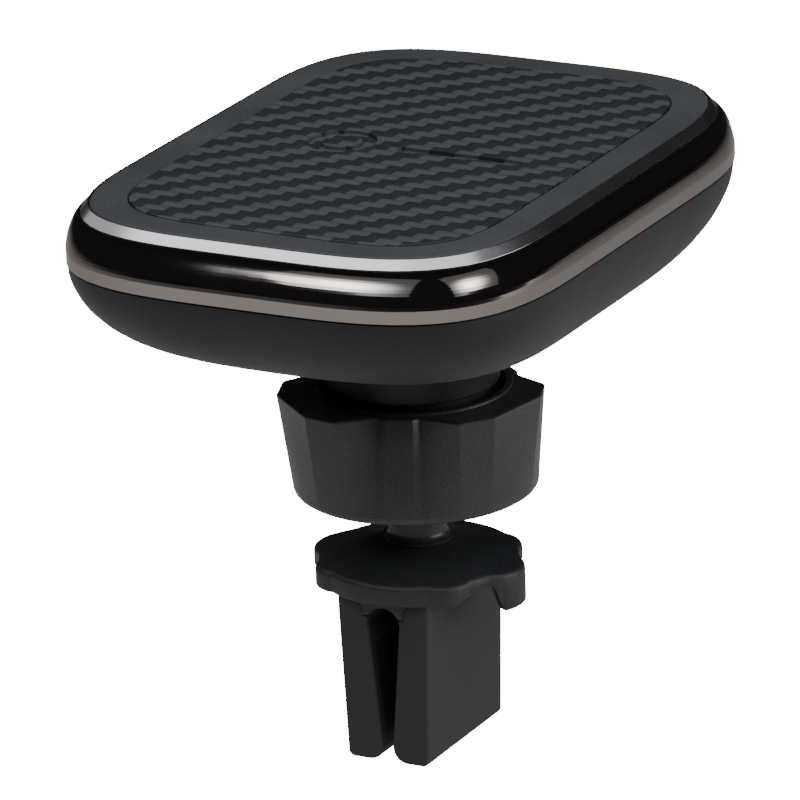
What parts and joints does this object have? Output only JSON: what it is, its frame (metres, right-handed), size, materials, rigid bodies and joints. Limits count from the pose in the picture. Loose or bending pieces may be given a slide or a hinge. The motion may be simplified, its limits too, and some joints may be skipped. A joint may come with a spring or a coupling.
{
  "type": "car phone mount",
  "caption": "Magnetic phone holder with a rounded flat head, a ball joint with a lock nut, and a sprung clip for an air vent blade.",
  "frame": {"origin": "centre of the round end of the blade slot, halfway along the jaws", "axes": "+Z from the clip towards the phone face, +X from the left jaw to the right jaw, +Y along the vent blade and the head's long side"},
  "size_m": [0.0574, 0.0778, 0.07],
  "materials": {
    "weave_plate": "fine diagonal weave, satin",
    "adhesive": "double-sided sheet",
    "soft_frame": "soft-touch matte",
    "gunmetal": "polished dark gunmetal",
    "soft_shell": "soft-touch matte",
    "foam": "open foam",
    "magnet": "nickel plate",
    "inner_plastic": "moulded",
    "yoke_steel": "zinc plate",
    "screw_steel": "zinc plate",
    "seat_plastic": "natural nylon",
    "nut_plastic": "fine moulded texture",
    "clip_plastic": "fine moulded texture",
    "grip_rubber": "matte"
  },
  "bodies": {
    "clip": {"clip_body": "clip_plastic", "ball_stud": "clip_plastic"},
    "left_jaw": {"left_jaw": "clip_plastic", "left_grip_pad": "grip_rubber"},
    "right_jaw": {"right_jaw": "clip_plastic", "right_grip_pad": "grip_rubber"},
    "upper_seat": {"ball_pad": "seat_plastic"},
    "lower_seat": {"ball_seat_ring": "seat_plastic"},
    "head": {"front_inlay": "weave_plate", "inlay_adhesive": "adhesive", "front_frame": "soft_frame", "bezel_ring": "gunmetal", "rear_shell": "soft_shell", "foam_pad": "foam", "magnets": "magnet", "magnet_tray": "inner_plastic", "steel_yoke": "yoke_steel", "tray_screws": "screw_steel", "frame_screws": "screw_steel", "ball_socket": "inner_plastic", "socket_screws": "screw_steel"},
    "nut": {"lock_nut": "nut_plastic"}
  },
  "joints": [
    {"name": "ball_spin", "type": "hinge", "parent": "clip", "child": "upper_seat", "pos_m": [0, 0, 0.022], "axis": [0, 0, 1], "continuous": true},
    {"name": "ball_tilt_x", "type": "hinge", "parent": "upper_seat", "child": "lower_seat", "pos_m": [0, 0, 0.022], "axis": [1, 0, 0], "range_deg": [-18, 18]},
    {"name": "ball_tilt_y", "type": "hinge", "parent": "lower_seat", "child": "head", "pos_m": [0, 0, 0.022], "axis": [0, 1, 0], "range_deg": [-18, 18]},
    {"name": "nut_turn", "type": "hinge", "parent": "head", "child": "nut", "pos_m": [0, 0, 0.022], "axis": [0, 0, 1], "range_deg": [0, 360]},
    {"name": "left_jaw_open", "type": "hinge", "parent": "clip", "child": "left_jaw", "pos_m": [-0.0044, 0, 0.0012], "axis": [0, 1, 0], "range_deg": [0, 6], "stiffness_Nm_per_rad": 0.2},
    {"name": "right_jaw_open", "type": "hinge", "parent": "clip", "child": "right_jaw", "pos_m": [0.0044, 0, 0.0012], "axis": [0, -1, 0], "range_deg": [0, 6], "stiffness_Nm_per_rad": 0.2}
  ],
  "couplings": [
    {"joint": "right_jaw_open", "follows": "left_jaw_open", "ratio": 1}
  ]
}
